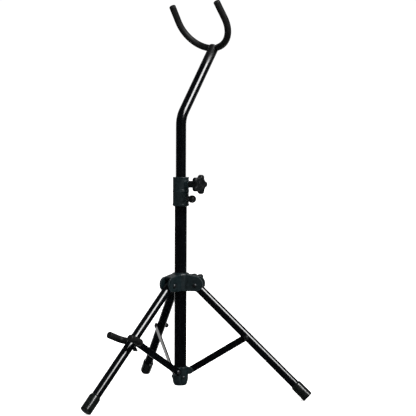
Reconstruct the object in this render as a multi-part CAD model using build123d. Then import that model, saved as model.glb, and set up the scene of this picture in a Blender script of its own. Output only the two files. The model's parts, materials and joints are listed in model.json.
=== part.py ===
from build123d import *

import math
import os

# Tall saxophone stand for a baritone: a folding tripod, a telescopic column with a clamp,
# a bent upper pole that carries a padded yoke, and a padded cradle on the front leg.
# Millimetres. +Z runs up the column axis, z = 0 is the floor, and the front leg runs along -Y.

# Driving dimensions -------------------------------------------------------------------------
FIT = 0.05                      # radial clearance of a running fit
GAP = 0.3                       # clearance between neighbours that move past each other

COLUMN_R = 15.0
COLUMN_WALL = 1.5
COLUMN_BOTTOM = 31.0
COLUMN_TOP = 497.0

POLE_R = 12.5
POLE_WALL = 1.5
POLE_BOTTOM = 252.0
POLE_BEND_Z = 676.0             # corner of the bend on the column axis
POLE_BEND_R = 62.0
YOKE_Y = 118.0                  # where the stem meets the yoke
YOKE_Z = 851.0
POLE_PAST_YOKE = 3.0            # the stem's end, past the yoke rod's axis

YOKE_TILT = 35.7                # forward lean of the yoke from the vertical, degrees
YOKE_R = 75.3
YOKE_WRAP = 93.5                # turn of each side of the yoke, degrees
YOKE_ARM = 46.5                 # straight part of each arm
YOKE_ROD_R = 5.0
SLEEVE_R = 8.3
SLEEVE_END = 3.5                # closed end of a sleeve past the rod

LEG_ANGLES = {"front": -90.0, "right": 30.0, "left": 150.0}
LEG_R = 11.0
LEG_WALL = 1.3
LEG_SLOPE = 43.64               # below the horizontal when open, degrees
PIVOT_X = 38.0
PIVOT_Z = 270.2
LEG_ABOVE_PIVOT = 9.0
FOOT_R = 13.8
FOOT_LENGTH = 43.0
FOOT_ROUND = 2.5
FOOT_WALL = 6.0
FLOOR_DIP = 0.7                 # how far the round of the foot is cut flat by the floor

BRACE_ON_LEG = 176.0            # from the leg's pivot to the brace's pivot
BRACE_BASE_X = 22.0
BRACE_BASE_Z = 60.0
BRACE_WIDTH = 16.6
BRACE_THICKNESS = 3.0
BRACE_SIDE = 12.4               # inner face of a brace, sideways from the leg's middle plane
PIN_R = 3.0

HUB_BODY_R = 22.0
HUB_BOTTOM = 256.0
HUB_TOP = 300.0
HUB_LUG_R = 18.0
HUB_LUG_X = 40.5
HUB_LUG_Z = 274.0
HUB_CHEEK = 4.8
HUB_SLOT = 22.8
HUB_ROOF_Z = 287.0
HUB_ROOF_X = 45.0
HUB_LOCK_Z = 272.0

COLLAR_R = 19.4
COLLAR_LIP_R = 20.2
COLLAR_BOTTOM = 461.0
COLLAR_SEAM = 498.0
COLLAR_TOP = 531.5
CLAMP_Z = 514.5
PLUNGER_Z = 479.0

BUSH_R = 16.5                   # outside of the leg hub's liner
GLIDE_R = 14.2                  # outside of the pole's liner

STUD_R = 4.0
INSERT_R = 6.5
BOSS_R = 8.6
KNOB_R = 23.0
KNOB_LOBES = 5
KNOB_THICKNESS = 12.0

CRADLE_ON_LEG = BRACE_ON_LEG    # the front brace turns on the cradle's rod
CRADLE_TILT = 22.5              # rise of the cradle towards its tips, degrees
CRADLE_HALF = 34.0
CRADLE_BEND_R = 17.0
CRADLE_REACH = 43.0
CRADLE_ROD_R = 4.0
CRADLE_SLEEVE_R = 8.3


# Helpers ------------------------------------------------------------------------------------
def save(node, shape):
    """Write one node, which may hold several separate solids."""
    export_step(shape, os.path.join("parts", node + ".step"))


def rod(radius, start, end):
    """A round bar between two points."""
    start, end = Vector(*start), Vector(*end)
    axis = end - start
    place = Plane(origin=start, z_dir=axis)
    return place * Cylinder(radius, axis.length, align=(Align.CENTER, Align.CENTER, Align.MIN))


def ring(outer, inner, start, end):
    """A round sleeve between two points."""
    return rod(outer, start, end) - rod(inner, start, end)


def turned(outline, start, direction):
    """A turned piece: outline holds (distance along the axis, radius) points."""
    face = make_face(Plane.XZ * Polyline(*[(radius, along) for along, radius in outline], close=True))
    return Plane(origin=Vector(*start), z_dir=Vector(*direction)) * revolve(face, Axis.Z)


def around(shape, angle):
    """Turn a shape built along +X to a direction about the column."""
    return Rot(0, 0, angle) * shape


def bent_bar(path, radius, x_dir=(1, 0, 0)):
    """A round bar along a path."""
    return sweep(Plane(origin=path @ 0, x_dir=x_dir, z_dir=path % 0) * Circle(radius), path)


# The leg, drawn along +X, leans down from its pivot -------------------------------------------
SLOPE = math.radians(LEG_SLOPE)
LEG_DIR = Vector(math.cos(SLOPE), 0, -math.sin(SLOPE))
LEG_NORMAL = Vector(math.sin(SLOPE), 0, math.cos(SLOPE))
PIVOT = Vector(PIVOT_X, 0, PIVOT_Z)
# The rounded rim of the foot dips FLOOR_DIP below the floor before it is cut flat.
LEG_LENGTH = FOOT_ROUND + (
    PIVOT_Z + FLOOR_DIP - FOOT_ROUND - (FOOT_R - FOOT_ROUND) * math.cos(SLOPE)
) / math.sin(SLOPE)
TUBE_LENGTH = LEG_LENGTH - FOOT_WALL


def on_leg(along, out=0.0, side=0.0):
    """A point given along the leg, out from its axis, and sideways."""
    return tuple(PIVOT + LEG_DIR * along + LEG_NORMAL * out + Vector(0, side, 0))


BRACE_TOP = Vector(*on_leg(BRACE_ON_LEG))
BRACE_BASE = Vector(BRACE_BASE_X, 0, BRACE_BASE_Z)


def across(along, start, end, radius):
    """A bar across the leg, sideways from start to end."""
    return rod(radius, on_leg(along, 0, start), on_leg(along, 0, end))


# Column ---------------------------------------------------------------------------------------
def make_column_tube():
    tube = ring(COLUMN_R, COLUMN_R - COLUMN_WALL, (0, 0, COLUMN_BOTTOM), (0, 0, COLUMN_TOP))
    tube -= rod(3.4, (0, 0, PLUNGER_Z), (COLUMN_R + 2, 0, PLUNGER_Z))
    for angle in BASE_SCREW_ANGLES:
        tube -= around(rod(2.0, (10, 0, BASE_SCREW_Z), (20, 0, BASE_SCREW_Z)), angle)
    return tube


# Base hub at the foot of the column -------------------------------------------------------------
BASE_R = 19.4
BASE_BOTTOM = 25.0
BASE_TOP = 71.0
BASE_LUG_R = 8.4
BASE_LUG_INNER = 3.0
BASE_LUG_OUTER = BRACE_SIDE - GAP
BASE_SCREW_Z = 46.0
BASE_SCREW_ANGLES = (-22.0, 98.0, 218.0)
BASE_NOTCH_X = 9.6              # where the cup is cut away for a brace's foot as the legs fold


def base_lug():
    """A lug beside the brace's foot, for the brace's lower pivot."""
    outline = Polyline(
        (COLUMN_R, BRACE_BASE_Z - BASE_LUG_R),
        (BRACE_BASE_X, BRACE_BASE_Z - BASE_LUG_R),
        (BRACE_BASE_X, BRACE_BASE_Z + BASE_LUG_R),
        (COLUMN_R, BRACE_BASE_Z + BASE_LUG_R),
        close=True,
    )
    shape = make_face(outline) + Pos(BRACE_BASE_X, BRACE_BASE_Z) * Circle(BASE_LUG_R)
    plate = extrude(Plane(origin=(0, BASE_LUG_INNER, 0), x_dir=(1, 0, 0), z_dir=(0, -1, 0)) * shape,
                    amount=-(BASE_LUG_OUTER - BASE_LUG_INNER))
    hole = rod(PIN_R, (BRACE_BASE_X, BASE_LUG_INNER + 1.5, BRACE_BASE_Z),
               (BRACE_BASE_X, BASE_LUG_OUTER + 1, BRACE_BASE_Z))
    return plate, hole


def make_base_hub():
    hub = turned(
        [(0, 0), (0, 13.4), (2.0, 15.5), (6.0, 17.3), (11.0, 18.7), (17.0, BASE_R),
         (BASE_TOP - BASE_BOTTOM - 2.0, BASE_R), (BASE_TOP - BASE_BOTTOM, BASE_R - 2.0),
         (BASE_TOP - BASE_BOTTOM, 0)],
        (0, 0, BASE_BOTTOM), (0, 0, 1),
    )
    plate, hole = base_lug()
    for angle in LEG_ANGLES.values():
        hub += around(plate, angle)
    notch = Pos(BASE_NOTCH_X, BASE_LUG_OUTER, BASE_BOTTOM - 1) * Box(
        30, 20, BASE_TOP - BASE_BOTTOM + 2, align=Align.MIN)
    for angle in LEG_ANGLES.values():
        hub -= around(hole, angle)
        hub -= around(notch, angle)
    for angle in BASE_SCREW_ANGLES:
        hub -= around(rod(2.0, (10, 0, BASE_SCREW_Z), (25, 0, BASE_SCREW_Z)), angle)
    return hub - rod(COLUMN_R, (0, 0, COLUMN_BOTTOM), (0, 0, BASE_TOP + 5))


def make_base_pins():
    """One pin per leg in its lug, ending flush beside the brace's foot."""
    pin = rod(PIN_R, (BRACE_BASE_X, BASE_LUG_INNER + 1.5, BRACE_BASE_Z),
              (BRACE_BASE_X, BASE_LUG_OUTER, BRACE_BASE_Z))
    return Compound([around(pin, angle) for angle in LEG_ANGLES.values()])


def make_base_screws():
    screw = turned(
        [(0, 0), (0, 2.0), (6.0, 2.0), (6.0, 3.5), (7.4, 3.0), (8.1, 1.6), (8.2, 0)],
        (COLUMN_R - COLUMN_WALL, 0, BASE_SCREW_Z), (1, 0, 0),
    )
    return Compound([around(screw, angle) for angle in BASE_SCREW_ANGLES])


# Clamp collar at the top of the column ----------------------------------------------------------
def make_collar_lower():
    height = COLLAR_SEAM - COLLAR_BOTTOM
    body = turned(
        [(0, 0), (0, COLLAR_LIP_R - 2.2), (2.2, COLLAR_LIP_R), (5.0, COLLAR_LIP_R), (5.6, COLLAR_R),
         (height - 3.2, COLLAR_R), (height - 2.4, COLLAR_LIP_R), (height - 0.8, COLLAR_LIP_R),
         (height, COLLAR_LIP_R - 0.8), (height, 0)],
        (0, 0, COLLAR_BOTTOM), (0, 0, 1),
    )
    body += rod(BOSS_R, (COLUMN_R, 0, PLUNGER_Z), (COLLAR_R + 2.5, 0, PLUNGER_Z))
    body -= rod(COLUMN_R, (0, 0, COLLAR_BOTTOM - 1), (0, 0, COLUMN_TOP))
    body -= rod(POLE_R + 1.0, (0, 0, COLUMN_TOP - 1), (0, 0, COLLAR_SEAM + 1))
    return body - rod(PLUNGER_BARREL_R, (COLUMN_R - 1, 0, PLUNGER_Z), (COLLAR_R + 5, 0, PLUNGER_Z))


def make_collar_upper():
    height = COLLAR_TOP - COLLAR_SEAM
    body = turned(
        [(0, 0), (0, COLLAR_LIP_R - 0.8), (0.8, COLLAR_LIP_R), (2.4, COLLAR_LIP_R), (3.2, COLLAR_R),
         (height - 3.4, COLLAR_R), (height - 2.8, COLLAR_LIP_R), (height - 1.0, COLLAR_LIP_R),
         (height, COLLAR_LIP_R - 1.0), (height, 0)],
        (0, 0, COLLAR_SEAM), (0, 0, 1),
    )
    body += rod(BOSS_R, (COLUMN_R, 0, CLAMP_Z), (BOSS_END, 0, CLAMP_Z))
    body -= rod(GLIDE_R, (0, 0, COLLAR_SEAM - 1), (0, 0, COLLAR_TOP - 3.0))
    body -= rod(POLE_R + GAP, (0, 0, COLLAR_TOP - 4.0), (0, 0, COLLAR_TOP + 1))
    return body - place_clamp(boss_bore(POLE_R), 0, CLAMP_Z)


def make_glide_bush():
    """Nylon liner that guides the pole, with a window for the clamp's shoe."""
    bush = ring(GLIDE_R, POLE_R + FIT, (0, 0, COLLAR_SEAM + 0.2), (0, 0, COLLAR_TOP - 3.2))
    return bush - rod(SHOE_R + GAP, (0, 0, CLAMP_Z), (COLLAR_R, 0, CLAMP_Z))


# Clamp screw: insert, shoe, stud, star knob and cap, drawn along +X at z = 0 ---------------------
BOSS_END = 29.0
SHOE_R = 4.8
STUD_TO_SHOE = 0.1
KNOB_NECK_R = 8.2


SHOE_LENGTH = 3.8
SHOE_TRAVEL = 2.5


def shoe_back(tube_r):
    return tube_r + GAP + SHOE_LENGTH


def insert_start(tube_r):
    """The insert stops short of the shoe's whole travel."""
    return shoe_back(tube_r) + SHOE_TRAVEL + GAP


def clamp_insert(tube_r):
    """Threaded brass insert in the boss, as a plain ring."""
    return ring(INSERT_R, STUD_R + FIT, (insert_start(tube_r), 0, 0), (BOSS_END + 0.4, 0, 0))


def clamp_shoe(tube_r):
    """Nylon pad that the stud presses on the tube."""
    return rod(SHOE_R, (tube_r + GAP, 0, 0), (shoe_back(tube_r), 0, 0))


def clamp_stud(tube_r, knob_start):
    return rod(STUD_R, (shoe_back(tube_r) + STUD_TO_SHOE, 0, 0),
               (knob_start + KNOB_THICKNESS - 4.0, 0, 0))


def boss_bore(tube_r):
    """The hole for the shoe, stepped up to the insert's seat."""
    seat = insert_start(tube_r)
    return rod(SHOE_R + GAP, (tube_r - 1, 0, 0), (seat + 0.1, 0, 0)) + rod(
        INSERT_R, (seat, 0, 0), (BOSS_END + 1, 0, 0))


def star_outline():
    """Five round lobes joined by hollow flanks."""
    lobe_r = 5.6
    hollow_r = 9.5
    core_r = KNOB_R - lobe_r + 1.2
    shape = Circle(core_r)
    for index in range(KNOB_LOBES):
        angle = 360.0 * index / KNOB_LOBES
        shape += Rot(0, 0, angle) * Pos(KNOB_R - lobe_r, 0) * Circle(lobe_r)
    for index in range(KNOB_LOBES):
        angle = 360.0 * (index + 0.5) / KNOB_LOBES
        shape -= Rot(0, 0, angle) * Pos(core_r + hollow_r - 3.4, 0) * Circle(hollow_r)
    return shape


def star_knob(start, first_lobe):
    """Star knob with its back at start, a neck towards the boss and a recess for the cap."""
    place = Plane(origin=(start, 0, 0), x_dir=(0, 1, 0), z_dir=(1, 0, 0))
    head = extrude(place * Rot(0, 0, first_lobe) * star_outline(), amount=KNOB_THICKNESS)
    dome = turned(
        [(0, 0), (0, KNOB_R - 1.5), (1.5, KNOB_R + 0.5), (10.2, KNOB_R + 0.5), (11.4, KNOB_R - 1.5),
         (KNOB_THICKNESS, 18.0), (KNOB_THICKNESS, 0)],
        (start, 0, 0), (1, 0, 0),
    )
    neck = turned(
        [(0, 0), (0, KNOB_NECK_R - 0.6), (0.6, KNOB_NECK_R), (start - BOSS_END - 11.0, KNOB_NECK_R + 0.6),
         (start - BOSS_END - 1.0, 14.2), (start - BOSS_END + 1.0, 14.2), (start - BOSS_END + 1.0, 0)],
        (BOSS_END + 1.4, 0, 0), (1, 0, 0),
    )
    knob = (head & dome) + neck
    knob -= rod(STUD_R, (BOSS_END, 0, 0), (start + KNOB_THICKNESS - 4.0, 0, 0))
    return knob - rod(9.0, (start + KNOB_THICKNESS - 2.0, 0, 0), (start + KNOB_THICKNESS + 1, 0, 0))


def knob_cap(start):
    """Shallow dished cap pressed into the knob's face."""
    front = KNOB_THICKNESS - 2.0
    return turned([(0, 0), (0, 8.9), (1.2, 8.9), (1.8, 8.3), (1.5, 6.0), (1.1, 0)],
                  (start + front, 0, 0), (1, 0, 0))


def place_clamp(shape, angle, height):
    """Turn a clamp piece about the column and lift it to its height."""
    return Pos(0, 0, height) * around(shape, angle)


# Spring plunger under the clamp ----------------------------------------------------------------
PLUNGER_BARREL_R = 7.0
PLUNGER_BARREL_END = 31.0
PLUNGER_KNOB_R = 9.2
PLUNGER_TRAVEL = 6.0
PLUNGER_CAVITY = (20.0, 29.5)
PLUNGER_COLLAR = (20.2, 21.8)


def make_plunger_barrel():
    barrel = rod(PLUNGER_BARREL_R, (COLUMN_R + 0.1, 0, PLUNGER_Z), (PLUNGER_BARREL_END, 0, PLUNGER_Z))
    barrel -= rod(COLUMN_R + 0.1, (0, 0, PLUNGER_Z - 20), (0, 0, PLUNGER_Z + 20))
    barrel -= rod(PIN_R + FIT, (0, 0, PLUNGER_Z), (PLUNGER_BARREL_END + 1, 0, PLUNGER_Z))
    return barrel - rod(5.2, (PLUNGER_CAVITY[0], 0, PLUNGER_Z), (PLUNGER_CAVITY[1], 0, PLUNGER_Z))


def make_plunger_pin():
    pin = rod(PIN_R, (POLE_R + GAP, 0, PLUNGER_Z), (PLUNGER_BARREL_END + 9.0, 0, PLUNGER_Z))
    return pin + rod(4.9, (PLUNGER_COLLAR[0], 0, PLUNGER_Z), (PLUNGER_COLLAR[1], 0, PLUNGER_Z))


def make_plunger_spring():
    """The coil spring's envelope, between the pin's collar and the barrel's end."""
    return ring(4.9, PIN_R + 0.4, (PLUNGER_COLLAR[1] + 0.1, 0, PLUNGER_Z),
                (PLUNGER_CAVITY[1] - 0.1, 0, PLUNGER_Z))


def make_plunger_knob():
    knob = turned(
        [(0, 0), (0, 8.0), (1.2, PLUNGER_KNOB_R), (9.5, PLUNGER_KNOB_R), (12.5, 7.6), (14.0, 4.0),
         (14.4, 0)],
        (PLUNGER_BARREL_END + 0.6, 0, PLUNGER_Z), (1, 0, 0),
    )
    return knob - rod(PIN_R, (PLUNGER_BARREL_END, 0, PLUNGER_Z), (PLUNGER_BARREL_END + 9.0, 0, PLUNGER_Z))


# Pole, yoke and their sleeves --------------------------------------------------------------------
def pole_path():
    stem = Vector(0, YOKE_Y, YOKE_Z - POLE_BEND_Z).normalized()
    top = Vector(0, YOKE_Y, YOKE_Z) + stem * POLE_PAST_YOKE
    return FilletPolyline((0, 0, POLE_BOTTOM), (0, 0, POLE_BEND_Z), tuple(top), radius=POLE_BEND_R)


def make_upper_pole():
    path = pole_path()
    pole = bent_bar(path, POLE_R) - bent_bar(path, POLE_R - POLE_WALL)
    pole -= make_yoke_rod()
    for index in range(6):
        height = PLUNGER_Z - 25.0 * index
        pole -= rod(PIN_R + 0.3, (0, 0, height), (POLE_R + 2, 0, height))
    # A groove near the foot holds the foot bush.
    return pole - ring(POLE_R + 1, POLE_R - 0.6, (0, 0, FOOT_BUSH_Z), (0, 0, FOOT_BUSH_Z + FOOT_BUSH_LENGTH))


FOOT_BUSH_Z = 258.0
FOOT_BUSH_LENGTH = 14.0


def make_pole_foot_bush():
    """Nylon ring in the pole's groove, which slides in the column."""
    return ring(COLUMN_R - COLUMN_WALL - FIT, POLE_R - 0.6 + FIT, (0, 0, FOOT_BUSH_Z + 0.1),
                (0, 0, FOOT_BUSH_Z + FOOT_BUSH_LENGTH - 0.1))


def make_pole_end_plug():
    """Domed plug in the stem's open end, notched over the yoke's rod."""
    path = pole_path()
    plug = turned([(0, 0), (0, POLE_R - POLE_WALL), (1.0, POLE_R - POLE_WALL), (1.0, POLE_R),
                   (2.0, POLE_R - 0.6), (3.0, POLE_R - 2.5), (3.6, 0)],
                  tuple(Vector(path @ 1) - Vector(path % 1) * 1.0), tuple(path % 1))
    return plug - make_yoke_rod()


def yoke_side(trim_start, trim_end):
    """Centre line of the right half of the yoke, in its own plane, trimmed at both ends."""
    start = math.degrees(trim_start / YOKE_R)
    arc = CenterArc((0, YOKE_R), YOKE_R, -90.0 + start, YOKE_WRAP - start)
    arm = Line(arc @ 1, (arc @ 1) + (arc % 1) * (YOKE_ARM - trim_end))
    return Wire([arc.edge(), arm.edge()])


def yoke_plane():
    tilt = math.radians(YOKE_TILT)
    return Plane(origin=(0, YOKE_Y, YOKE_Z), x_dir=(1, 0, 0), z_dir=(0, -math.cos(tilt), -math.sin(tilt)))


def bar_along(wire, plane, radius):
    """A round bar along a flat wire drawn in the given plane."""
    path = plane * wire
    return sweep(Plane(origin=path @ 0, z_dir=path % 0) * Circle(radius), path)


def make_yoke_rod():
    side = bar_along(yoke_side(0, SLEEVE_END), yoke_plane(), YOKE_ROD_R)
    return side + mirror(side, Plane.YZ)


def yoke_sleeve():
    """Closed rubber sleeve over the right half of the yoke."""
    plane = yoke_plane()
    outer = bar_along(yoke_side(SLEEVE_START, 0), plane, SLEEVE_R)
    inner = bar_along(yoke_side(SLEEVE_START, SLEEVE_END), plane, YOKE_ROD_R)
    outer = fillet(outer.edges().sort_by(Axis.Z)[-1], 3.0)
    return outer - inner


SLEEVE_START = POLE_R + 1.9


# Leg hub -----------------------------------------------------------------------------------------
def hub_arm():
    """One pair of cheeks and the roof between them, along +X."""
    outline = Polyline(
        (12, HUB_BOTTOM), (HUB_LUG_X, HUB_BOTTOM), (HUB_LUG_X, HUB_LUG_Z + HUB_LUG_R),
        (HUB_BODY_R, HUB_TOP - 4.0), (12, HUB_TOP - 4.0), close=True,
    )
    shape = make_face(outline) + Pos(HUB_LUG_X, HUB_LUG_Z) * Circle(HUB_LUG_R)
    width = HUB_SLOT + 2 * HUB_CHEEK
    plane = Plane(origin=(0, -width / 2, 0), x_dir=(1, 0, 0), z_dir=(0, -1, 0))
    return extrude(plane * shape, amount=-width)


def hub_slot():
    """The room for the leg between the cheeks, open at the end and underneath."""
    under_roof = Pos(HUB_BODY_R + 0.8, 0, HUB_BOTTOM - 20) * Box(
        60, HUB_SLOT, HUB_ROOF_Z - HUB_BOTTOM + 20, align=(Align.MIN, Align.CENTER, Align.MIN))
    open_end = Pos(HUB_ROOF_X, 0, HUB_BOTTOM - 20) * Box(
        60, HUB_SLOT, 80, align=(Align.MIN, Align.CENTER, Align.MIN))
    return under_roof + open_end


def make_leg_hub():
    body = turned(
        [(0, 0), (0, HUB_BODY_R - 1.5), (1.5, HUB_BODY_R), (HUB_TOP - HUB_BOTTOM - 5.0, HUB_BODY_R),
         (HUB_TOP - HUB_BOTTOM - 2.2, HUB_BODY_R - 1.2), (HUB_TOP - HUB_BOTTOM - 0.5, HUB_BODY_R - 3.4),
         (HUB_TOP - HUB_BOTTOM, HUB_BODY_R - 5.0), (HUB_TOP - HUB_BOTTOM, 0)],
        (0, 0, HUB_BOTTOM), (0, 0, 1),
    )
    arm = hub_arm()
    slot = hub_slot()
    pin_hole = rod(PIN_R, (PIVOT_X, -30, PIVOT_Z), (PIVOT_X, 30, PIVOT_Z))
    for angle in LEG_ANGLES.values():
        body += around(arm, angle)
    for angle in LEG_ANGLES.values():
        body -= around(slot, angle)
        body -= around(pin_hole, angle)
    body += place_clamp(rod(BOSS_R, (BUSH_R + 1, 0, 0), (BOSS_END, 0, 0)), 90, HUB_LOCK_Z)
    body -= rod(BUSH_R, (0, 0, HUB_BOTTOM - 1), (0, 0, HUB_TOP - 2.0))
    body -= rod(COLUMN_R + GAP, (0, 0, HUB_TOP - 3.0), (0, 0, HUB_TOP + 1))
    return body - place_clamp(boss_bore(COLUMN_R), 90, HUB_LOCK_Z)


def make_hub_bush():
    bush = ring(BUSH_R, COLUMN_R + FIT, (0, 0, HUB_BOTTOM + 0.2), (0, 0, HUB_TOP - 2.2))
    return bush - place_clamp(rod(SHOE_R + GAP, (0, 0, 0), (COLLAR_R, 0, 0)), 90, HUB_LOCK_Z)


def make_hub_pins():
    """Domed rivets through the cheeks, one per leg."""
    half = HUB_SLOT / 2 + HUB_CHEEK
    rivet = turned(
        [(0, 0), (0.3, 2.6), (0.9, 4.1), (2.4, 5.2), (2.4, PIN_R), (2.4 + 2 * half, PIN_R),
         (2.4 + 2 * half, 5.2), (3.9 + 2 * half, 4.1), (4.5 + 2 * half, 2.6), (4.8 + 2 * half, 0)],
        (PIVOT_X, -half - 2.4, PIVOT_Z), (0, 1, 0),
    )
    return Compound([around(rivet, angle) for angle in LEG_ANGLES.values()])


# Legs, plugs and feet ------------------------------------------------------------------------------
def make_leg_tube(holes):
    tube = ring(LEG_R, LEG_R - LEG_WALL, on_leg(-LEG_ABOVE_PIVOT), on_leg(TUBE_LENGTH))
    tube -= across(0, -20, 20, PIN_R + FIT)
    for hole in holes:
        tube -= hole
    return tube


def make_leg_plug():
    """Plug in the leg's top end, which the hub's rivet passes through."""
    plug = rod(LEG_R - LEG_WALL, on_leg(-LEG_ABOVE_PIVOT + 0.8), on_leg(12))
    return plug - across(0, -20, 20, PIN_R + FIT)


def make_foot():
    """Rubber foot with a chamfered mouth and a rounded rim, worn flat where it stands."""
    top = LEG_LENGTH - FOOT_LENGTH
    foot = turned(
        [(0, 0), (0, LEG_R + 0.6), (0.6, LEG_R + 0.9), (3.4, FOOT_R), (FOOT_LENGTH, FOOT_R),
         (FOOT_LENGTH, 0)],
        on_leg(top), tuple(LEG_DIR),
    )
    rim = foot.edges().filter_by(GeomType.CIRCLE).sort_by(Axis.Z)[0]
    foot = fillet(rim, FOOT_ROUND)
    foot -= rod(LEG_R, on_leg(top - 1), on_leg(TUBE_LENGTH))
    floor = Pos(PIVOT_X + LEG_LENGTH * math.cos(SLOPE), 0, -10) * Box(120, 120, 20)
    return foot - floor


NUT_ACROSS = 6.2                # from the nut's axis to its corners
NUT_HEIGHT = 5.2
NUT_CROWN = 9.0
BOLT_PAST_LEG = 6.0


def make_brace_pin():
    """Bolt through the leg and the brace, with a shoulder that spaces the brace off the leg."""
    side = LEG_R + BOLT_PAST_LEG
    head = side + BRACE_SIDE + BRACE_THICKNESS
    return turned(
        [(0, 0), (0, PIN_R), (side + LEG_R, PIN_R), (side + LEG_R, 6.0),
         (side + BRACE_SIDE - FIT, 6.0), (side + BRACE_SIDE - FIT, PIN_R), (head + FIT, PIN_R),
         (head + FIT, 5.2), (head + 1.5, 4.6), (head + 2.6, 2.8), (head + 3.0, 0)],
        on_leg(BRACE_ON_LEG, 0, -side), (0, 1, 0),
    )


def make_brace_nut():
    """Cap nut on the end of the brace's bolt, against the leg."""
    seat = on_leg(BRACE_ON_LEG, 0, -LEG_R)
    place = Plane(origin=Vector(*seat), x_dir=LEG_DIR, z_dir=(0, -1, 0))
    nut = extrude(place * RegularPolygon(NUT_ACROSS, 6), amount=NUT_HEIGHT)
    nut += turned([(0, 0), (0, 5.2), (NUT_HEIGHT, 5.2), (NUT_HEIGHT + 2.0, 4.4),
                   (NUT_CROWN - 0.5, 2.4), (NUT_CROWN, 0)], seat, (0, -1, 0))
    return nut - across(BRACE_ON_LEG, -LEG_R - BOLT_PAST_LEG, -LEG_R + 1, PIN_R)


# Braces -----------------------------------------------------------------------------------------
def make_brace(pivot_r):
    """Flat bar with round ends beside the leg, from its pivot on the leg to the base hub."""
    run = BRACE_TOP - BRACE_BASE
    middle = (BRACE_TOP + BRACE_BASE) * 0.5
    shape = SlotCenterToCenter(run.length, BRACE_WIDTH)
    shape -= Pos(-run.length / 2, 0) * Circle(PIN_R)
    shape -= Pos(run.length / 2, 0) * Circle(pivot_r + FIT)
    plane = Plane(origin=middle + Vector(0, BRACE_SIDE, 0), x_dir=run, z_dir=(0, 1, 0))
    return extrude(plane * shape, amount=BRACE_THICKNESS)


def make_brace_rivet():
    """The head of the lower pivot, set in the brace's foot."""
    return turned(
        [(0, 0), (0, PIN_R), (BRACE_THICKNESS, PIN_R), (BRACE_THICKNESS, 5.2),
         (BRACE_THICKNESS + 1.5, 4.1), (BRACE_THICKNESS + 2.1, 2.6), (BRACE_THICKNESS + 2.4, 0)],
        (BRACE_BASE_X, BRACE_SIDE, BRACE_BASE_Z), (0, 1, 0),
    )


# Cradle on the front leg, drawn along +X like the leg and turned with it ----------------------------
CRADLE_SCREW_TIP = 6.5          # from the rod's centre to the back of the screw's nylon tip


def cradle_plane():
    """Plane of the cradle's U: its y axis points forward and up, its x axis sideways."""
    tilt = math.radians(CRADLE_TILT)
    forward = Vector(math.cos(tilt), 0, math.sin(tilt))
    side = Vector(0, 1, 0)
    return Plane(origin=on_leg(CRADLE_ON_LEG), x_dir=side, z_dir=side.cross(forward))


def cradle_side(start, trim_end):
    """Centre line of one half of the cradle, from start along it: across the leg, bend and out."""
    straight = CRADLE_HALF - CRADLE_BEND_R
    past = math.degrees(max(0.0, start - straight) / CRADLE_BEND_R)
    bend = CenterArc((straight, CRADLE_BEND_R), CRADLE_BEND_R, -90.0 + past, 90.0 - past)
    tip = Line(bend @ 1, (CRADLE_HALF, CRADLE_REACH + 3.5 - trim_end))
    edges = [bend.edge(), tip.edge()]
    if start < straight:
        edges = [Line((start, 0), (straight, 0)).edge()] + edges
    return Wire(edges)


def make_cradle_rod():
    side = bar_along(cradle_side(0, 3.5), cradle_plane(), CRADLE_ROD_R)
    return side + mirror(side, Plane.XZ)


def cradle_sleeve(start):
    """Closed rubber sleeve over one prong, from start along the rod."""
    plane = cradle_plane()
    outer = bar_along(cradle_side(start, 0), plane, CRADLE_SLEEVE_R)
    outer = fillet(outer.edges().filter_by(GeomType.CIRCLE).sort_by(Axis.X)[-1], 2.8)
    return outer - bar_along(cradle_side(start, 3.5), plane, CRADLE_ROD_R)


SLEEVE_PAST_BRACE = BRACE_SIDE + BRACE_THICKNESS + 1.6
SLEEVE_AT_BUSH = BRACE_SIDE + 0.2


def make_cradle_bushes():
    """Flanged nylon bushes in the leg's walls, for the cradle's rod."""
    inside = LEG_R - LEG_WALL - 0.8
    bush = turned(
        [(0, CRADLE_ROD_R + FIT), (0, 5.4), (LEG_R - inside, 5.4), (LEG_R - inside, 6.6),
         (BRACE_SIDE - GAP - inside, 6.6), (BRACE_SIDE - GAP - inside, CRADLE_ROD_R + FIT)],
        on_leg(CRADLE_ON_LEG, 0, inside), (0, 1, 0),
    )
    return Compound([bush, mirror(bush, Plane.XZ)])


CRADLE_SCREW_LEAN = 18.0        # towards the foot from square to the leg, degrees
LEAN = math.radians(CRADLE_SCREW_LEAN)


def below(distance):
    """A point on the screw's axis, at a distance from the rod's axis."""
    return on_leg(CRADLE_ON_LEG + distance * math.sin(LEAN), -distance * math.cos(LEAN))


def under(start, end, radius):
    """A round bar on the screw's axis, start and end measured from the rod's axis."""
    return rod(radius, below(start), below(end))


def make_cradle_nut():
    """Rivet nut in the leg's underside, for the cradle's screw."""
    nut = under(7.6, LEG_R + 2.6, 4.2)
    flange = under(LEG_R - 2.2, LEG_R + 2.6, 5.6)
    flange -= rod(LEG_R + 0.05, on_leg(CRADLE_ON_LEG - 20), on_leg(CRADLE_ON_LEG + 20))
    return (nut + flange) - under(0, 20, CRADLE_SCREW_R + FIT)


CRADLE_SCREW_R = 2.5
CRADLE_SCREW_END = 21.0
WING_START = 15.4


def make_cradle_tip():
    """Nylon tip between the screw and the cradle's rod."""
    return under(CRADLE_ROD_R + GAP, CRADLE_SCREW_TIP, CRADLE_SCREW_R)


def make_cradle_screw():
    return under(CRADLE_SCREW_TIP + 0.1, CRADLE_SCREW_END, CRADLE_SCREW_R)


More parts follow.
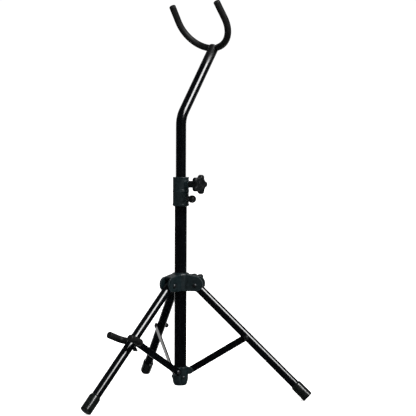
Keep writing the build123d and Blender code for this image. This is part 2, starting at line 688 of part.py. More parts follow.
def make_cradle_wing():
    """Moulded wing head on the cradle's screw."""
    start = Vector(*below(WING_START))
    away = (start - Vector(*below(0))).normalized()
    place = Plane(origin=start, x_dir=(0, 1, 0), z_dir=away)
    blade = Pos(0, 0, 2.0) * Box(13.0, 3.6, 8.0, align=(Align.CENTER, Align.CENTER, Align.MIN))
    wing = place * (blade + Cylinder(4.6, 5.6, align=(Align.CENTER, Align.CENTER, Align.MIN)))
    return wing - under(0, CRADLE_SCREW_END, CRADLE_SCREW_R)


# Build every node -----------------------------------------------------------------------------------
os.makedirs("parts", exist_ok=True)

save("column_tube", make_column_tube())
save("base_hub", make_base_hub())
save("base_pivot_pins", make_base_pins())
save("base_hub_screws", make_base_screws())
save("collar_lower", make_collar_lower())
save("collar_upper", make_collar_upper())
save("glide_bush", make_glide_bush())
save("plunger_barrel", make_plunger_barrel())
save("plunger_pin", make_plunger_pin())
save("plunger_spring", make_plunger_spring())
save("plunger_knob", make_plunger_knob())

# Each clamp screw: name, direction about the column, height, tube radius, back of the star, first lobe.
CLAMPS = (
    ("clamp", 0.0, CLAMP_Z, POLE_R, 55.0, 0.0),
    ("hub_lock", 90.0, HUB_LOCK_Z, COLUMN_R, 55.0, -90.0),
)
for name, angle, height, tube_r, knob_start, first_lobe in CLAMPS:
    save(name + "_insert", place_clamp(clamp_insert(tube_r), angle, height))
    save(name + "_shoe", place_clamp(clamp_shoe(tube_r), angle, height))
    save(name + "_stud", place_clamp(clamp_stud(tube_r, knob_start), angle, height))
    save(name + "_knob", place_clamp(star_knob(knob_start, first_lobe), angle, height))
    save(name + "_knob_cap", place_clamp(knob_cap(knob_start), angle, height))

save("pole_foot_bush", make_pole_foot_bush())
save("upper_pole", make_upper_pole())
save("pole_end_plug", make_pole_end_plug())
save("yoke_rod", make_yoke_rod())
sleeve = yoke_sleeve()
save("yoke_sleeve_right", sleeve)
save("yoke_sleeve_left", mirror(sleeve, Plane.YZ))

save("leg_hub", make_leg_hub())
save("hub_bush", make_hub_bush())
save("hub_pivot_pins", make_hub_pins())

for name, angle in LEG_ANGLES.items():
    if name == "front":
        pivot_r = CRADLE_ROD_R
        holes = [across(CRADLE_ON_LEG, -20, 20, 5.4), under(0, 20, 4.2)]
    else:
        pivot_r = PIN_R
        holes = [across(BRACE_ON_LEG, -20, 20, PIN_R)]
        save("brace_pin_" + name, around(make_brace_pin(), angle))
        save("brace_nut_" + name, around(make_brace_nut(), angle))
    save("leg_tube_" + name, around(make_leg_tube(holes), angle))
    save("leg_plug_" + name, around(make_leg_plug(), angle))
    save("foot_" + name, around(make_foot(), angle))
    save("brace_" + name, around(make_brace(pivot_r), angle))
    save("brace_rivet_" + name, around(make_brace_rivet(), angle))

front = LEG_ANGLES["front"]
save("cradle_rod", around(make_cradle_rod(), front))
save("cradle_sleeve_right", around(cradle_sleeve(SLEEVE_PAST_BRACE), front))
save("cradle_sleeve_left", around(mirror(cradle_sleeve(SLEEVE_AT_BUSH), Plane.XZ), front))
save("cradle_bushes", around(make_cradle_bushes(), front))
save("cradle_nut", around(make_cradle_nut(), front))
save("cradle_screw_tip", around(make_cradle_tip(), front))
save("cradle_screw", around(make_cradle_screw(), front))
save("cradle_wing", around(make_cradle_wing(), front))
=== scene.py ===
"""Looks of a folding saxophone stand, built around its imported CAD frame. Metres."""
import json
import math

import bmesh
import bpy
from mathutils import Matrix, Vector


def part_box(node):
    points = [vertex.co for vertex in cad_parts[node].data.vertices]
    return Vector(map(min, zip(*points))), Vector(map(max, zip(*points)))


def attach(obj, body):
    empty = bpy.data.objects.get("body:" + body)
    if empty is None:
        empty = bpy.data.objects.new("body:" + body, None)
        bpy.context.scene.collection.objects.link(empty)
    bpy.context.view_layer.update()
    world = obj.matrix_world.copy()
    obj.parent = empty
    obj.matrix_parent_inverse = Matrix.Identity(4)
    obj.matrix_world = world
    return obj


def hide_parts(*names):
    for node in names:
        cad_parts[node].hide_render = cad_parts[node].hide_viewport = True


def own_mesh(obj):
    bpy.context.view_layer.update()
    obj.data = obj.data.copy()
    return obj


MM = 0.001

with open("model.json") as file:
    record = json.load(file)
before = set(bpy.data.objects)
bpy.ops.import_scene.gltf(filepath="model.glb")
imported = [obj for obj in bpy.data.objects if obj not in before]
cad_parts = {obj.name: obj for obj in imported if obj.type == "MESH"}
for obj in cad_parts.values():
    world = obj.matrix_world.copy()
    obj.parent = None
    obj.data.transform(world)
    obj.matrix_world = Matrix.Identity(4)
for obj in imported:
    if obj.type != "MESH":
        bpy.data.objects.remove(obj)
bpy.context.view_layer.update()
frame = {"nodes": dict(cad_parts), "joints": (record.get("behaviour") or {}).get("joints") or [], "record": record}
nodes = frame["nodes"]
joints = {joint["name"]: joint for joint in frame["joints"]}


# Dimensions in millimetres and degrees. They are the CAD's, except for the knob's radius ------------
LEG_ANGLES = {"front": -90.0, "right": 30.0, "left": 150.0}
LEG_SLOPE = math.radians(43.64)
LEG_R = 11.0
FOOT_R = 13.8
FOOT_LENGTH = 43.0
FOOT_BORE = 37.0                # depth of the leg's hole in its foot
COLUMN_R = 15.0
KNOB_R = 24.0                   # 1 mm over the CAD's
KNOB_LOBES = 5
PIN_R = 3.0
HUB_HALF_WIDTH = 16.2           # half the width of a pair of the leg hub's cheeks
BASE_SCREW_ANGLES = (-22.0, 98.0, 218.0)

body_of_node = {}
for body_name, body_nodes in frame["record"]["behaviour"]["bodies"].items():
    for node_name in body_nodes:
        body_of_node[node_name] = body_name
slot_of_node = {part["node"]: part["material_slot"] for part in frame["record"]["subparts"]}


# Mesh helpers -------------------------------------------------------------------------------------
def new_object(name, mesh, node):
    """Link a mesh as a piece that rides with a CAD node's body, takes its slot and replaces it."""
    piece = bpy.data.objects.new(name, mesh)
    bpy.context.scene.collection.objects.link(piece)
    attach(piece, body_of_node[node])
    slot = slot_of_node[node]
    mesh.materials.clear()
    mesh.materials.append(MATERIALS[slot])
    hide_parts(node)
    return piece


def finish_mesh(builder, name, sharp=35.0):
    """Turn a bmesh into a smooth-shaded mesh with its sharp edges kept."""
    bmesh.ops.recalc_face_normals(builder, faces=builder.faces)
    mesh = bpy.data.meshes.new(name)
    builder.to_mesh(mesh)
    builder.free()
    mesh.shade_smooth()
    mesh.set_sharp_from_angle(angle=math.radians(sharp))
    return mesh


def rounded(outline, steps=4):
    """Round the corners of (along, radius, rounding) points, and return (along, radius) points."""
    points = []
    count = len(outline)
    for index, (along, radius, rounding) in enumerate(outline):
        here = Vector((along, radius))
        if rounding <= 0 or index in (0, count - 1):
            points.append(here)
            continue
        before = Vector(outline[index - 1][:2]) - here
        after = Vector(outline[index + 1][:2]) - here
        start = here + before.normalized() * min(rounding, before.length * 0.49)
        end = here + after.normalized() * min(rounding, after.length * 0.49)
        for step in range(steps + 1):
            t = step / steps
            points.append(start * (1 - t) ** 2 + here * 2 * t * (1 - t) + end * t * t)
    return supported([(point.x, point.y) for point in points])


def supported(points, near=0.35, least=1.6):
    """Add points near both ends of each long straight, so that smooth shading stays in the corners."""
    result = [points[0]]
    for first, second in zip(points, points[1:]):
        start = Vector(first)
        run = Vector(second) - start
        if run.length > least:
            result.append(tuple(start + run.normalized() * near))
            result.append(tuple(start + run.normalized() * (run.length - near)))
        result.append(second)
    return result


def axis_matrix(origin, direction, side=None):
    """Matrix that puts local Z along a direction, and local X as near to side as it can."""
    z = Vector(direction).normalized()
    if side is None:
        side = (1, 0, 0) if abs(z.x) < 0.9 else (0, 1, 0)
    x = Vector(side)
    y = z.cross(x).normalized()
    x = y.cross(z)
    matrix = Matrix((x, y, z)).transposed().to_4x4()
    matrix.translation = Vector(origin)
    return matrix


def turned(builder, outline, matrix, segments=64, radius_at=None):
    """Add a turned surface. radius_at(radius, along, angle) may change the radius round the turn."""
    rings = []
    for along, radius in outline:
        if radius < 1e-6:
            rings.append([builder.verts.new(matrix @ Vector((0, 0, along * MM)))])
            continue
        ring = []
        for index in range(segments):
            angle = 2 * math.pi * index / segments
            here = radius_at(radius, along, angle) if radius_at else radius
            ring.append(builder.verts.new(
                matrix @ Vector((here * math.cos(angle) * MM, here * math.sin(angle) * MM, along * MM))))
        rings.append(ring)
    for low, high in zip(rings, rings[1:]):
        if len(low) == 1 and len(high) == 1:
            continue
        for index in range(segments):
            after = (index + 1) % segments
            if len(low) == 1:
                builder.faces.new((low[0], high[after], high[index]))
            elif len(high) == 1:
                builder.faces.new((low[index], low[after], high[0]))
            else:
                builder.faces.new((low[index], low[after], high[after], high[index]))


# Materials ----------------------------------------------------------------------------------------
def start_material(name, color, roughness, metallic=0.0):
    material = bpy.data.materials.new(name)
    material.use_nodes = True
    shader = material.node_tree.nodes["Principled BSDF"]
    shader.inputs["Base Color"].default_value = (*color, 1)
    shader.inputs["Roughness"].default_value = roughness
    shader.inputs["Metallic"].default_value = metallic
    return material, shader


def add_noise(tree, size_mm, detail=3.0, stretch=(1, 1, 1)):
    """Noise on the piece's own coordinates, with features about size_mm across."""
    place = tree.nodes.new("ShaderNodeTexCoord")
    scale = tree.nodes.new("ShaderNodeMapping")
    scale.inputs["Scale"].default_value = stretch
    noise = tree.nodes.new("ShaderNodeTexNoise")
    noise.inputs["Scale"].default_value = 1 / (size_mm * MM)
    noise.inputs["Detail"].default_value = detail
    tree.links.new(place.outputs["Object"], scale.inputs["Vector"])
    tree.links.new(scale.outputs["Vector"], noise.inputs["Vector"])
    return noise.outputs["Fac"]


def remap(tree, value, low, high, to_low, to_high):
    node = tree.nodes.new("ShaderNodeMapRange")
    node.inputs["From Min"].default_value = low
    node.inputs["From Max"].default_value = high
    node.inputs["To Min"].default_value = to_low
    node.inputs["To Max"].default_value = to_high
    tree.links.new(value, node.inputs["Value"])
    return node.outputs["Result"]


def add_bump(tree, shader, height, strength, depth_mm):
    bump = tree.nodes.new("ShaderNodeBump")
    bump.inputs["Strength"].default_value = strength
    bump.inputs["Distance"].default_value = depth_mm * MM
    tree.links.new(height, bump.inputs["Height"])
    tree.links.new(bump.outputs["Normal"], shader.inputs["Normal"])


def mix_color(tree, shader, factor, first, second):
    mix = tree.nodes.new("ShaderNodeMix")
    mix.data_type = "RGBA"
    mix.inputs["A"].default_value = (*first, 1)
    mix.inputs["B"].default_value = (*second, 1)
    tree.links.new(factor, mix.inputs["Factor"])
    tree.links.new(mix.outputs["Result"], shader.inputs["Base Color"])


def patches(tree, size_mm, detail):
    """Soft patches from 0 to 1."""
    return remap(tree, add_noise(tree, size_mm, detail), 0.35, 0.7, 0.0, 1.0)


def vary_roughness(tree, shader, size_mm, detail, smooth, rough):
    tone = remap(tree, add_noise(tree, size_mm, detail), 0.3, 0.7, smooth, rough)
    tree.links.new(tone, shader.inputs["Roughness"])


def add_values(tree, first, second):
    node = tree.nodes.new("ShaderNodeMath")
    node.operation = "ADD"
    tree.links.new(first, node.inputs[0])
    tree.links.new(second, node.inputs[1])
    return node.outputs["Value"]


def worn_edges(tree, shader, mottle, dark, light, worn):
    """Mottled colour that pales along convex edges, where handling polishes it."""
    base = tree.nodes.new("ShaderNodeMix")
    base.data_type = "RGBA"
    base.inputs["A"].default_value = (*dark, 1)
    base.inputs["B"].default_value = (*light, 1)
    tree.links.new(mottle, base.inputs["Factor"])
    geometry = tree.nodes.new("ShaderNodeNewGeometry")
    edge = remap(tree, geometry.outputs["Pointiness"], 0.51, 0.58, 0.0, 0.7)
    mix = tree.nodes.new("ShaderNodeMix")
    mix.data_type = "RGBA"
    mix.inputs["B"].default_value = (*worn, 1)
    tree.links.new(base.outputs["Result"], mix.inputs["A"])
    tree.links.new(edge, mix.inputs["Factor"])
    tree.links.new(mix.outputs["Result"], shader.inputs["Base Color"])


def painted_steel(name="gloss_black_enamel", matt_above=None):
    """Gloss black enamel with orange peel, faint dust and fine rubs. It dulls above matt_above, in m."""
    material, shader = start_material(name, (0.0003, 0.0005, 0.0009), 0.2)
    tree = material.node_tree
    dust = remap(tree, add_noise(tree, 35.0, 5.0), 0.45, 0.75, 0.0, 1.0)
    mix_color(tree, shader, dust, (0.0002, 0.0004, 0.0008), (0.0008, 0.0012, 0.0018))
    peel = remap(tree, add_noise(tree, 12.0, 4.0), 0.3, 0.7, 0.16, 0.23)
    rubs = remap(tree, add_noise(tree, 1.2, 2.0, (1.0, 1.0, 0.06)), 0.64, 0.76, 0.0, 0.06)
    roughness = add_values(tree, peel, rubs)
    if matt_above is not None:
        place = tree.nodes.new("ShaderNodeTexCoord")
        axes = tree.nodes.new("ShaderNodeSeparateXYZ")
        tree.links.new(place.outputs["Object"], axes.inputs["Vector"])
        haze = remap(tree, axes.outputs["Z"], matt_above, matt_above + 0.035, 0.0, 0.4)
        roughness = add_values(tree, roughness, haze)
    tree.links.new(roughness, shader.inputs["Roughness"])
    add_bump(tree, shader, add_noise(tree, 3.0, 2.0), 0.12, 0.05)
    return material


def charcoal_plastic():
    """Moulded charcoal plastic with a fine spark-eroded grain and slightly worn edges."""
    material, shader = start_material("moulded_charcoal_plastic", (0.004, 0.0075, 0.009), 0.42)
    shader.inputs["Specular IOR Level"].default_value = 0.3
    tree = material.node_tree
    dark, light, worn = (0.0012, 0.0046, 0.0056), (0.0042, 0.0092, 0.011), (0.016, 0.028, 0.031)
    worn_edges(tree, shader, patches(tree, 9.0, 4.0), dark, light, worn)
    vary_roughness(tree, shader, 6.0, 3.0, 0.34, 0.48)
    add_bump(tree, shader, add_noise(tree, 0.5, 2.0), 0.25, 0.06)
    return material


def black_plastic():
    """Satin black moulding, as the knobs and caps."""
    material, shader = start_material("moulded_black_plastic", (0.002, 0.0028, 0.0032), 0.38)
    shader.inputs["Specular IOR Level"].default_value = 0.32
    tree = material.node_tree
    dark, light, worn = (0.0012, 0.0019, 0.0023), (0.0032, 0.0041, 0.0046), (0.01, 0.013, 0.014)
    worn_edges(tree, shader, patches(tree, 7.0, 4.0), dark, light, worn)
    vary_roughness(tree, shader, 5.0, 3.0, 0.38, 0.5)
    add_bump(tree, shader, add_noise(tree, 0.6, 2.0), 0.18, 0.05)
    return material


def black_rubber():
    """Matte rubber with a dull bloom in patches."""
    material, shader = start_material("black_rubber", (0.0022, 0.0024, 0.0024), 0.6)
    shader.inputs["Specular IOR Level"].default_value = 0.3
    tree = material.node_tree
    bloom = remap(tree, add_noise(tree, 18.0, 5.0), 0.42, 0.72, 0.0, 1.0)
    mix_color(tree, shader, bloom, (0.0016, 0.0018, 0.0018), (0.0042, 0.0045, 0.0044))
    vary_roughness(tree, shader, 8.0, 3.0, 0.5, 0.68)
    add_bump(tree, shader, add_noise(tree, 0.9, 3.0), 0.3, 0.08)
    return material


def foot_rubber():
    """Smooth moulded foot: shinier than the sleeves, with lighter scuffed patches."""
    material, shader = start_material("moulded_foot_rubber", (0.0025, 0.0032, 0.0032), 0.2)
    tree = material.node_tree
    grime = remap(tree, add_noise(tree, 10.0, 5.0), 0.45, 0.7, 0.0, 1.0)
    mix_color(tree, shader, grime, (0.0016, 0.0024, 0.0022), (0.005, 0.006, 0.0056))
    vary_roughness(tree, shader, 4.0, 3.0, 0.17, 0.24)
    add_bump(tree, shader, add_noise(tree, 0.8, 2.0), 0.15, 0.04)
    return material


def zinc_steel():
    """Zinc-plated steel, dulled by handling."""
    material, shader = start_material("dull_zinc_steel", (0.34, 0.35, 0.37), 0.34, 1.0)
    tree = material.node_tree
    mix_color(tree, shader, patches(tree, 4.0, 4.0), (0.27, 0.28, 0.3), (0.42, 0.43, 0.45))
    vary_roughness(tree, shader, 2.5, 3.0, 0.22, 0.4)
    add_bump(tree, shader, add_noise(tree, 0.4, 2.0), 0.1, 0.02)
    return material


def blackened_steel():
    """Black-oxide steel of the rivets and screw heads."""
    material, shader = start_material("blackened_steel", (0.09, 0.095, 0.1), 0.4, 1.0)
    tree = material.node_tree
    mix_color(tree, shader, patches(tree, 2.0, 4.0), (0.05, 0.055, 0.06), (0.13, 0.135, 0.14))
    vary_roughness(tree, shader, 1.5, 3.0, 0.32, 0.5)
    add_bump(tree, shader, add_noise(tree, 0.4, 2.0), 0.1, 0.02)
    return material


def nylon():
    material, shader = start_material("natural_nylon", (0.68, 0.67, 0.62), 0.45)
    tree = material.node_tree
    mix_color(tree, shader, patches(tree, 5.0, 3.0), (0.62, 0.61, 0.56), (0.74, 0.73, 0.68))
    add_bump(tree, shader, add_noise(tree, 0.7, 2.0), 0.1, 0.03)
    return material


def brass():
    material, shader = start_material("turned_brass", (0.72, 0.5, 0.2), 0.28, 1.0)
    tree = material.node_tree
    mix_color(tree, shader, patches(tree, 3.0, 3.0), (0.64, 0.43, 0.16), (0.78, 0.56, 0.25))
    add_bump(tree, shader, add_noise(tree, 0.5, 2.0), 0.1, 0.02)
    return material


FOOT_RUBBER = foot_rubber()
BLACKENED_STEEL = blackened_steel()
MATERIALS = {
    "painted_black_steel": painted_steel(),
    "charcoal_plastic": charcoal_plastic(),
    "black_plastic": black_plastic(),
    "black_rubber": black_rubber(),
    "zinc_steel": zinc_steel(),
    "nylon": nylon(),
    "brass": brass(),
}


# CAD nodes whose shape is right keep it and get a finish ------------------------------------------
YOKE_WELD_HEIGHT = 0.805        # m, where the enamel starts to dull below the yoke
# Nodes that look different from the rest of their slot
OWN_FINISH = {
    "upper_pole": painted_steel("enamel_dulled_by_weld", YOKE_WELD_HEIGHT),
    "pole_end_plug": MATERIALS["black_rubber"],
}
for node_name, slot_name in slot_of_node.items():
    for material_slot in nodes[node_name].material_slots:
        material_slot.material = OWN_FINISH.get(node_name, MATERIALS[slot_name])


# Moulded pieces, rounded from their CAD meshes ----------------------------------------------------
def softened(node, voxel_mm, rounds, keep):
    """A copy of a CAD mesh, remeshed finely and smoothed so that its edges are moulded round."""
    mesh = nodes[node].data.copy()
    builder = bmesh.new()
    builder.from_mesh(mesh)
    bmesh.ops.remove_doubles(builder, verts=builder.verts, dist=1e-6)
    builder.to_mesh(mesh)
    builder.free()
    rough = bpy.data.objects.new(node + "_rough", mesh)
    bpy.context.scene.collection.objects.link(rough)
    remesh = rough.modifiers.new("remesh", "REMESH")
    remesh.mode = "VOXEL"
    remesh.voxel_size = voxel_mm * MM
    remesh.use_smooth_shade = True
    smooth = rough.modifiers.new("smooth", "SMOOTH")
    smooth.iterations = rounds
    decimate = rough.modifiers.new("decimate", "DECIMATE")
    decimate.ratio = keep
    graph = bpy.context.evaluated_depsgraph_get()
    final = bpy.data.meshes.new_from_object(rough.evaluated_get(graph))
    bpy.data.objects.remove(rough)
    final.shade_smooth()
    return new_object(node + "_moulded", final, node)


# node: voxel size in mm, rounds of smoothing, share of the faces kept
MOULDED = {
    "leg_hub": (0.9, 14, 0.3),
    "base_hub": (0.7, 8, 0.3),
    "collar_lower": (0.6, 4, 0.35),
    "collar_upper": (0.6, 4, 0.35),
    "cradle_wing": (0.3, 8, 0.5),
    "brace_nut_right": (0.25, 5, 0.4),
    "brace_nut_left": (0.25, 5, 0.4),
    "brace_front": (0.6, 3, 0.3),
    "brace_right": (0.6, 3, 0.3),
    "brace_left": (0.6, 3, 0.3),
}
for moulded_node, settings in MOULDED.items():
    softened(moulded_node, *settings)


# Knobs --------------------------------------------------------------------------------------------
def star_radius(angle, lobe_r=6.4, core_past_lobes=2.2, hollow_r=9.5, hollow_depth=3.4):
    """Outline of the star knob: round lobes joined by hollow flanks."""
    lobe_at = KNOB_R - lobe_r
    core_r = lobe_at + core_past_lobes
    hollow_at = core_r + hollow_r - hollow_depth
    pitch = 2 * math.pi / KNOB_LOBES
    off = (angle + pitch / 2) % pitch - pitch / 2
    radius = core_r
    between = pitch / 2 - abs(off)
    hollow_off = hollow_at * math.sin(between)
    if abs(hollow_off) < hollow_r:
        near = hollow_at * math.cos(between) - math.sqrt(hollow_r ** 2 - hollow_off ** 2)
        radius = min(radius, near)
    lobe_off = lobe_at * math.sin(off)
    if abs(lobe_off) < lobe_r:
        far = lobe_at * math.cos(off) + math.sqrt(lobe_r ** 2 - lobe_off ** 2)
        radius = max(radius, far)
    return radius


def smooth_star(angle, spread=math.radians(3.0), steps=3):
    """The star's outline with its inner corners eased."""
    samples = [star_radius(angle + spread * step / steps) for step in range(-steps, steps + 1)]
    return sum(samples) / len(samples)


KNOB_RIM_START = 25.0           # along the knob: neck and flare before this, rim and face after it
ROUND_NECK_R = 9.0              # no lobes within this radius on the neck and flare
ROUND_FACE_R = 12.0             # nor within this one on the face, about the cap


def lobed(radius, along, angle):
    """The lobes fade in from the neck to the rim, and leave the cap's recess round."""
    plain = ROUND_NECK_R if along < KNOB_RIM_START else ROUND_FACE_R
    share = max(0.0, min(1.0, (radius - plain) / (KNOB_R - plain)))
    return radius * (1 - share) + radius * share * smooth_star(angle) / KNOB_R


def star_knob(node, origin, direction, first_lobe):
    """Star knob with a flared neck, full lobes and a recess for its cap."""
    outline = rounded([
        (0.0, 0.0, 0), (0.0, 8.2, 0.7), (13.5, 8.8, 4.0), (23.0, 13.8, 2.0), (24.4, 22.0, 1.4),
        (25.6, KNOB_R, 1.2), (35.0, KNOB_R, 2.0), (36.8, 19.5, 3.0), (37.0, 9.2, 0.7), (34.6, 9.0, 0.3),
        (34.6, 0.0, 0),
    ])
    builder = bmesh.new()
    turned(builder, outline, axis_matrix(origin, direction, first_lobe), 150, lobed)
    return new_object(node + "_star", finish_mesh(builder, node, 50.0), node)


def dished_cap(node, origin, direction):
    """Dished cap with a raised rim and a small centre dimple."""
    outline = rounded([
        (0.0, 0.0, 0), (0.0, 8.9, 0.2), (1.3, 8.9, 0.4), (1.8, 8.2, 0.4),
        (1.2, 6.6, 1.0), (1.1, 2.2, 0.4), (0.8, 1.6, 0.4), (0.8, 0.0, 0),
    ])
    builder = bmesh.new()
    turned(builder, outline, axis_matrix(origin, direction), 72)
    return new_object(node + "_dished", finish_mesh(builder, node, 40.0), node)


def on_axis(node, axis, end):
    """Where a turned node starts (end 0) or stops (end 1) along a world axis, on its own centre line."""
    low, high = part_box(node)
    point = [(low[index] + high[index]) / 2 for index in range(3)]
    point[axis] = (low, high)[end][axis]
    return Vector(point)


def knob_origin(node, axis):
    """The neck's back end, on the axis of the screw's stud."""
    point = on_axis(node.replace("_knob", "_stud"), axis, 0)
    point[axis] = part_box(node)[0][axis]
    return point


star_knob("clamp_knob", knob_origin("clamp_knob", 0), (1, 0, 0), (0, 1, 0))
star_knob("hub_lock_knob", knob_origin("hub_lock_knob", 1), (0, 1, 0), (0, 0, -1))
dished_cap("clamp_knob_cap", on_axis("clamp_knob_cap", 0, 0), (1, 0, 0))
dished_cap("hub_lock_knob_cap", on_axis("hub_lock_knob_cap", 1, 0), (0, 1, 0))


def fluted(radius, along, angle, flutes=22, depth=0.35, middle=5.5, reach=5.0):
    """Fine grip flutes round the widest part of the plunger's knob."""
    share = max(0.0, 1 - abs(along - middle) / reach)
    return radius - depth * share * (0.5 + 0.5 * math.cos(flutes * angle))


def plunger_knob():
    outline = rounded([
        (0.0, 0.0, 0), (0.0, 7.6, 0.8), (1.6, 9.2, 1.2), (8.8, 9.2, 3.0),
        (12.6, 7.2, 2.4), (14.4, 2.6, 1.6), (14.4, 0.0, 0),
    ], 6)
    builder = bmesh.new()
    turned(builder, outline, axis_matrix(on_axis("plunger_knob", 0, 0), (1, 0, 0)), 132, fluted)
    return new_object("plunger_knob_grip", finish_mesh(builder, "plunger_knob", 60.0), "plunger_knob")


plunger_knob()


# Feet ---------------------------------------------------------------------------------------------
def leg_direction(angle):
    turn = math.radians(angle)
    out = math.cos(LEG_SLOPE)
    return Vector((out * math.cos(turn), out * math.sin(turn), -math.sin(LEG_SLOPE)))


def leg_pivot(leg):
    return Vector(joints[leg + "_leg_fold"]["pos_m"])


def foot_start(leg):
    """The foot's mouth, on the leg's axis: the tube's end is FOOT_BORE further down."""
    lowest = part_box("leg_tube_" + leg)[0][2]
    direction = leg_direction(LEG_ANGLES[leg])
    across = LEG_R * MM * math.cos(LEG_SLOPE)
    tube_length = (leg_pivot(leg).z - lowest - across) / math.sin(LEG_SLOPE)
    return leg_pivot(leg) + direction * (tube_length - FOOT_BORE * MM)


def rubber_foot(leg, lip=0.9, flare=3.6, groove_at=31.2, groove_half=0.7, groove_depth=0.5):
    """Moulded foot with a rolled mouth and a grip groove, worn flat where it stands."""
    node = "foot_" + leg
    outline = rounded([
        (FOOT_BORE, 0.0, 0), (FOOT_BORE, LEG_R, 0), (0.0, LEG_R, 0), (0.0, LEG_R + lip, 0.5),
        (flare, FOOT_R, 1.4), (groove_at - groove_half, FOOT_R, 0),
        (groove_at, FOOT_R - groove_depth, 0.4), (groove_at + groove_half, FOOT_R, 0),
        (FOOT_LENGTH, FOOT_R, 2.5), (FOOT_LENGTH, 0.0, 0),
    ], 6)
    builder = bmesh.new()
    turned(builder, outline, axis_matrix(foot_start(leg), leg_direction(LEG_ANGLES[leg])), 96)
    cut = bmesh.ops.bisect_plane(
        builder, geom=builder.verts[:] + builder.edges[:] + builder.faces[:],
        plane_co=(0, 0, 0), plane_no=(0, 0, -1), clear_outer=True)
    rim = [item for item in cut["geom_cut"] if isinstance(item, bmesh.types.BMEdge)]
    bmesh.ops.holes_fill(builder, edges=rim)
    foot = new_object(node + "_rubber", finish_mesh(builder, node, 40.0), node)
    foot.data.materials[0] = FOOT_RUBBER
    return foot


for leg_name in LEG_ANGLES:
    rubber_foot(leg_name)


# Rivets, screws and spring ------------------------------------------------------------------------
def dome(start, sign, radius, height, steps=6):
    """Profile of a domed head that rises from start by height, from its rim to its crown."""
    points = [(start, radius)]
    for step in range(1, steps + 1):
        turn = math.pi / 2 * step / steps
        points.append((start + sign * height * math.sin(turn), radius * math.cos(turn)))
    points[-1] = (start + sign * height, 0.0)
    return points


def leg_side(leg):
    turn = math.radians(LEG_ANGLES[leg])
    return Vector((-math.sin(turn), math.cos(turn), 0))


def hub_rivets(head_r=4.9, head_rise=1.8, washer_r=5.3, washer=0.6):
    """Rivets through the hub's cheeks, with a domed head and a washer at both ends."""
    half = HUB_HALF_WIDTH
    shank = [
        (-half - washer, washer_r), (-half, washer_r), (-half, PIN_R),
        (half, PIN_R), (half, washer_r), (half + washer, washer_r),
    ]
    first_head = dome(-half - washer, -1, head_r, head_rise)[::-1]
    outline = first_head + shank + dome(half + washer, 1, head_r, head_rise)
    builder = bmesh.new()
    for leg in LEG_ANGLES:
        turned(builder, outline, axis_matrix(leg_pivot(leg), leg_side(leg)), 40)
    rivets = new_object("hub_rivets_domed", finish_mesh(builder, "hub_rivets", 40.0), "hub_pivot_pins")
    rivets.data.materials[0] = BLACKENED_STEEL
    return rivets


hub_rivets()


RECESS_R = 1.5


def button_screw(shank_r=2.0, length=6.0, head_r=3.6, head_rise=2.2, recess_depth=1.0):
    """Profile of a button-head screw with a recess in its crown."""
    outline = dome(length, 1, head_r, head_rise)
    crown = [point for point in outline if point[1] > RECESS_R]
    top = crown[-1][0]
    recess = [(top, RECESS_R), (top - recess_depth, RECESS_R), (top - recess_depth, 0.0)]
    return [(0.0, 0.0), (0.0, shank_r), (length, shank_r)] + crown + recess


def hexagon(radius, along, angle):
    """The recess is a hexagon, and the rest is round."""
    if abs(radius - RECESS_R) > 1e-6:
        return radius
    pitch = math.pi / 3
    off = angle % pitch - pitch / 2
    return radius * math.cos(pitch / 2) / math.cos(off)


def base_screws(column_wall=1.5):
    """Screws through the base hub's cup into the column's wall."""
    low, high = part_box("base_hub_screws")
    height = (low[2] + high[2]) / 2
    builder = bmesh.new()
    for angle in BASE_SCREW_ANGLES:
        turn = math.radians(angle)
        outward = Vector((math.cos(turn), math.sin(turn), 0))
        start = outward * (COLUMN_R - column_wall) * MM + Vector((0, 0, height))
        turned(builder, button_screw(), axis_matrix(start, outward), 48, hexagon)
    mesh = finish_mesh(builder, "base_screws", 35.0)
    screws = new_object("base_screws_button", mesh, "base_hub_screws")
    screws.data.materials[0] = BLACKENED_STEEL
    return screws


base_screws()


def plunger_spring(wire_r=0.45, turns=6.5, steps=22, sides=10):
    """Coil spring inside the plunger's barrel, built at one fixed length."""
    lengthwise = Vector((1, 0, 0))
    low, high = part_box("plunger_spring")
    centre = on_axis("plunger_spring", 0, 0)
    coil_r = (high[2] - low[2]) / 2 - wire_r * MM
    length = high[0] - low[0] - 2 * wire_r * MM
    count = int(turns * steps)
    builder = bmesh.new()
    rings = []
    for index in range(count + 1):
        share = index / count
        turn = 2 * math.pi * turns * share
        outward = Vector((0, math.cos(turn), math.sin(turn)))
        middle = centre + outward * coil_r + lengthwise * (wire_r * MM + length * share)
        ring = []
        for side in range(sides):
            angle = 2 * math.pi * side / sides
            away = outward * math.cos(angle) + lengthwise * math.sin(angle)
            ring.append(builder.verts.new(middle + away * wire_r * MM))
        rings.append(ring)
    for first, second in zip(rings, rings[1:]):
        for side in range(sides):
            after = (side + 1) % sides
            builder.faces.new((first[side], first[after], second[after], second[side]))
    builder.faces.new(rings[0])
    builder.faces.new(rings[-1])
    mesh = finish_mesh(builder, "plunger_spring", 60.0)
    spring = new_object("plunger_spring_coil", mesh, "plunger_spring")
    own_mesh(spring)
    return spring


plunger_spring()


# Stage, light and camera --------------------------------------------------------------------------
def make_floor(half_side=30.0, below_feet=0.0005):
    """A white sheet that gives a little light of its own, so that hardly any shadow shows on it."""
    builder = bmesh.new()
    bmesh.ops.create_grid(builder, x_segments=1, y_segments=1, size=half_side)
    floor = bpy.data.objects.new("floor", finish_mesh(builder, "floor"))
    bpy.context.scene.collection.objects.link(floor)
    floor.location = (0, 0, -below_feet)
    material, shader = start_material("pale_floor", (0.95, 0.95, 0.95), 0.9)
    shader.inputs["Specular IOR Level"].default_value = 0.0
    shader.inputs["Emission Color"].default_value = (1, 1, 1, 1)
    shader.inputs["Emission Strength"].default_value = 0.5
    floor.data.materials.append(material)
    floor.visible_glossy = False


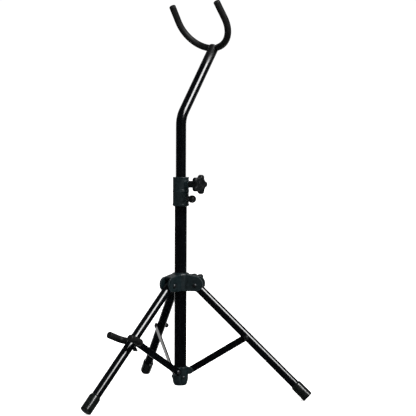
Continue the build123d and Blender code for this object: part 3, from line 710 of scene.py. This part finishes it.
# Edges of the ring of white cards, as cosines of the angle from straight behind the object. Its light
# rises over the outer edge's two values and falls over the inner edge's.
RING_INNER_EDGE = (0.86, 0.93)
RING_OUTER_EDGE = (0.68, 0.8)


def make_world(ahead, backdrop=1.05, fill=1.1, dim=0.015, bright=1.15):
    """White behind the object and as fill. In gloss only a ring of white cards round the back shows."""
    world = bpy.data.worlds.new("studio")
    bpy.context.scene.world = world
    world.use_nodes = True
    tree = world.node_tree
    tree.nodes.clear()
    out = tree.nodes.new("ShaderNodeOutputWorld")
    path = tree.nodes.new("ShaderNodeLightPath")
    direction = tree.nodes.new("ShaderNodeTexCoord")
    toward = tree.nodes.new("ShaderNodeVectorMath")
    toward.operation = "DOT_PRODUCT"
    toward.inputs[1].default_value = ahead
    tree.links.new(direction.outputs["Generated"], toward.inputs[0])
    inner = remap(tree, toward.outputs["Value"], *RING_INNER_EDGE, bright, 0.0)
    outer = remap(tree, toward.outputs["Value"], *RING_OUTER_EDGE, 0.0, 1.0)
    ring = tree.nodes.new("ShaderNodeMath")
    ring.operation = "MULTIPLY_ADD"
    ring.inputs[2].default_value = dim
    tree.links.new(inner, ring.inputs[0])
    tree.links.new(outer, ring.inputs[1])
    sweep = ring.outputs["Value"]
    layers = []
    for strength in (fill, sweep, backdrop):
        node = tree.nodes.new("ShaderNodeBackground")
        node.inputs["Color"].default_value = (1, 1, 1, 1)
        if isinstance(strength, float):
            node.inputs["Strength"].default_value = strength
        else:
            tree.links.new(strength, node.inputs["Strength"])
        layers.append(node.outputs["Background"])
    current = layers[0]
    for ray, layer in (("Is Glossy Ray", layers[1]), ("Is Camera Ray", layers[2])):
        mix = tree.nodes.new("ShaderNodeMixShader")
        tree.links.new(path.outputs[ray], mix.inputs["Fac"])
        tree.links.new(current, mix.inputs[1])
        tree.links.new(layer, mix.inputs[2])
        current = mix.outputs["Shader"]
    tree.links.new(current, out.inputs["Surface"])


def area_light(name, place, target, width, height, power):
    light = bpy.data.lights.new(name, "AREA")
    light.shape = "RECTANGLE"
    light.size = width
    light.size_y = height
    light.energy = power
    lamp = bpy.data.objects.new(name, light)
    bpy.context.scene.collection.objects.link(lamp)
    lamp.location = place
    lamp.rotation_mode = "QUATERNION"
    lamp.rotation_quaternion = (Vector(target) - Vector(place)).to_track_quat("-Z", "Y")


def make_camera():
    """Level with the stand's upper half, in front of it and to its right."""
    azimuth = math.radians(42.72)
    distance = 2.894
    height = 0.5686
    yaw = math.radians(1.306)
    pitch = math.radians(2.2145)
    roll = math.radians(0.24)
    data = bpy.data.cameras.new("camera")
    data.sensor_width = 36.0
    data.lens = 103.37
    data.clip_start = 0.05
    data.clip_end = 100.0
    camera = bpy.data.objects.new("camera", data)
    bpy.context.scene.collection.objects.link(camera)
    ahead = Vector((-math.sin(azimuth), math.cos(azimuth), 0))
    right = Vector((math.cos(azimuth), math.sin(azimuth), 0))
    up = Vector((0, 0, 1))
    turned_ahead = ahead * math.cos(yaw) + right * math.sin(yaw)
    turned_right = right * math.cos(yaw) - ahead * math.sin(yaw)
    look = turned_ahead * math.cos(pitch) - up * math.sin(pitch)
    look_up = up * math.cos(pitch) + turned_ahead * math.sin(pitch)
    x = turned_right * math.cos(roll) + look_up * math.sin(roll)
    y = look_up * math.cos(roll) - turned_right * math.sin(roll)
    matrix = Matrix((x, y, -look)).transposed().to_4x4()
    matrix.translation = -ahead * distance + up * height
    camera.matrix_world = matrix
    bpy.context.scene.camera = camera
    return right, ahead


make_floor()
view_right, view_ahead = make_camera()
make_world(view_ahead)
KEY_DISTANCE = 3.0
KEY_POWER = 120.0
KEY_TURN = math.radians(45.0)       # to the right of the camera
KEY_RISE = math.radians(43.0)
KEY_SIZE = 1.3
KEY_TARGET = Vector((0, 0, 0.35))
key_level = -view_ahead * math.cos(KEY_TURN) + view_right * math.sin(KEY_TURN)
key_direction = key_level * math.cos(KEY_RISE) + Vector((0, 0, math.sin(KEY_RISE)))
key_place = KEY_TARGET + key_direction * KEY_DISTANCE
area_light("key", key_place, KEY_TARGET, KEY_SIZE, KEY_SIZE, KEY_POWER)
bpy.context.scene.view_settings.view_transform = "Standard"
